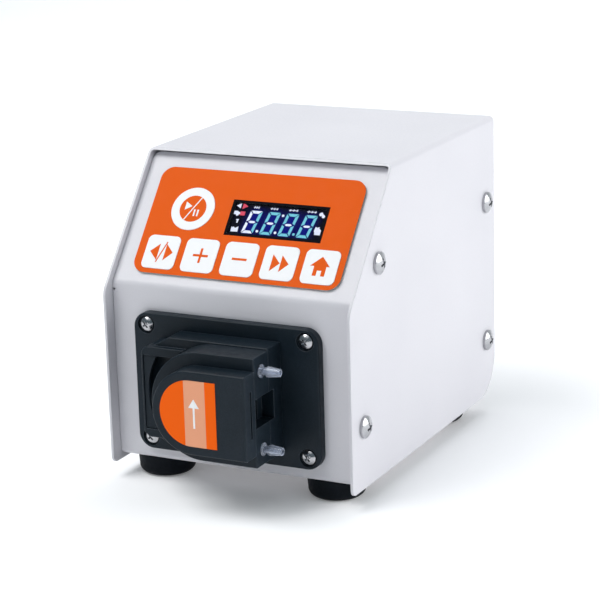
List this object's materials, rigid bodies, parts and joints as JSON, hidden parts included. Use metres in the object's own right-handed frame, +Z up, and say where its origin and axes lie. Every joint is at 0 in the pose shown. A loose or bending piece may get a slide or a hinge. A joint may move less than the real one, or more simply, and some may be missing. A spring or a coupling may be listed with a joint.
{
  "type": "peristaltic pump",
  "caption": "Compact bench peristaltic pump: sheet-metal case with a sloped keypad and display, clip-on tube cassette on the lower front, barbed tube connectors, rubber feet.",
  "frame": {"origin": "centre of the footprint of the overall box, on the bench under the feet", "axes": "+X to the right seen from the front, the front faces -Y, +Z up"},
  "size_m": [0.126, 0.2, 0.1432],
  "materials": {
    "white_paint": "fine-texture powder coat",
    "orange_film": "satin printed film",
    "white_key": "satin",
    "charcoal_plastic": "fine moulded texture",
    "black_plastic": "satin",
    "black_rubber": "matte",
    "nickel_steel": "bright nickel plate",
    "bare_steel": "ground",
    "aluminium": "cast",
    "milky_plastic": "translucent moulded",
    "silicone": "smooth",
    "smoked_window": "clear tinted",
    "lit_segments": "glowing",
    "label_orange": "printed film",
    "label_band": "printed film",
    "board_green": "solder mask",
    "capacitor_can": "sleeved can",
    "terminal_green": "moulded",
    "wire_mix": "insulation",
    "bronze": "sintered",
    "clear_film": "film",
    "white_plastic": "moulded",
    "motor_laminations": "blackened laminations"
  },
  "bodies": {
    "case": {"cover": "white_paint", "chassis": "white_paint", "rear_panel": "white_paint", "cover_screws": "nickel_steel", "press_nuts": "bare_steel", "feet": "black_rubber", "foot_screws": "bare_steel", "plate_screws": "nickel_steel", "keypad_circuit": "clear_film", "keypad_spacer": "clear_film", "keypad_overlay": "orange_film", "snap_domes": "bare_steel", "head_plate": "charcoal_plastic", "head_block": "charcoal_plastic", "latch_pin": "bare_steel", "motor_flange": "aluminium", "motor_stator": "motor_laminations", "motor_bell": "aluminium", "motor_screws": "bare_steel", "shaft_bearings": "bare_steel", "control_board": "board_green", "display_window": "smoked_window", "display_module": "black_plastic", "display_segments": "lit_segments", "display_board": "board_green", "standoffs": "bare_steel", "board_chips": "black_plastic", "capacitors": "capacitor_can", "heat_sink": "aluminium", "terminal_blocks": "terminal_green", "wiring": "wire_mix", "switch_body": "black_plastic", "dc_jack": "black_plastic", "control_connector": "bare_steel", "connector_insert": "black_plastic", "jack_posts": "nickel_steel"},
    "rotor": {"drive_shaft": "bare_steel", "rotor_hub": "black_plastic", "roller_pins": "bare_steel", "armature": "bare_steel"},
    "roller_1": {"roller_1": "white_plastic"},
    "roller_2": {"roller_2": "white_plastic"},
    "roller_3": {"roller_3": "white_plastic"},
    "cassette": {"cassette_body": "charcoal_plastic", "cassette_cap": "charcoal_plastic", "cassette_bushing": "bronze", "cassette_screws": "bare_steel", "cassette_label": "label_orange", "label_band": "label_band", "pump_tube": "silicone", "connector_upper": "milky_plastic", "connector_lower": "milky_plastic"},
    "thumb_latch": {"thumb_latch": "charcoal_plastic"},
    "rocker": {"switch_rocker": "black_plastic"},
    "key_direction": {"key_direction": "white_key"},
    "key_plus": {"key_plus": "white_key"},
    "key_minus": {"key_minus": "white_key"},
    "key_fast": {"key_fast": "white_key"},
    "key_home": {"key_home": "white_key"},
    "key_start": {"key_start": "white_key"}
  },
  "joints": [
    {"name": "rotor_spin", "type": "hinge", "parent": "case", "child": "rotor", "pos_m": [0, -0.0844, 0.0474], "axis": [0, 1, 0], "continuous": true},
    {"name": "roller_1_spin", "type": "hinge", "parent": "rotor", "child": "roller_1", "pos_m": [0.0065, -0.0844, 0.05866], "axis": [0, 1, 0], "continuous": true},
    {"name": "roller_2_spin", "type": "hinge", "parent": "rotor", "child": "roller_2", "pos_m": [-0.013, -0.0844, 0.0474], "axis": [0, 1, 0], "continuous": true},
    {"name": "roller_3_spin", "type": "hinge", "parent": "rotor", "child": "roller_3", "pos_m": [0.0065, -0.0844, 0.03614], "axis": [0, 1, 0], "continuous": true},
    {"name": "cassette_slide", "type": "slide", "parent": "case", "child": "cassette", "axis": [0, -1, 0], "range_m": [0, 0.045]},
    {"name": "latch_press", "type": "hinge", "parent": "case", "child": "thumb_latch", "pos_m": [-0.0325, -0.0782, 0.0474], "axis": [0, 0, 1], "range_deg": [0, 5], "stiffness_Nm_per_rad": 0.05},
    {"name": "key_direction_press", "type": "slide", "parent": "case", "child": "key_direction", "axis": [0, 0.7679, -0.6406], "range_m": [0, 0.00025], "stiffness_N_per_m": 2000},
    {"name": "key_plus_press", "type": "slide", "parent": "case", "child": "key_plus", "axis": [0, 0.7679, -0.6406], "range_m": [0, 0.00025], "stiffness_N_per_m": 2000},
    {"name": "key_minus_press", "type": "slide", "parent": "case", "child": "key_minus", "axis": [0, 0.7679, -0.6406], "range_m": [0, 0.00025], "stiffness_N_per_m": 2000},
    {"name": "key_fast_press", "type": "slide", "parent": "case", "child": "key_fast", "axis": [0, 0.7679, -0.6406], "range_m": [0, 0.00025], "stiffness_N_per_m": 2000},
    {"name": "key_home_press", "type": "slide", "parent": "case", "child": "key_home", "axis": [0, 0.7679, -0.6406], "range_m": [0, 0.00025], "stiffness_N_per_m": 2000},
    {"name": "key_start_press", "type": "slide", "parent": "case", "child": "key_start", "axis": [0, 0.7679, -0.6406], "range_m": [0, 0.00025], "stiffness_N_per_m": 2000},
    {"name": "rocker_tip", "type": "hinge", "parent": "case", "child": "rocker", "pos_m": [0.034, 0.0935, 0.1072], "axis": [1, 0, 0], "range_deg": [0, 16]}
  ],
  "couplings": [
    {"joint": "roller_1_spin", "follows": "rotor_spin", "ratio": -3.8261},
    {"joint": "roller_2_spin", "follows": "rotor_spin", "ratio": -3.8261},
    {"joint": "roller_3_spin", "follows": "rotor_spin", "ratio": -3.8261}
  ]
}
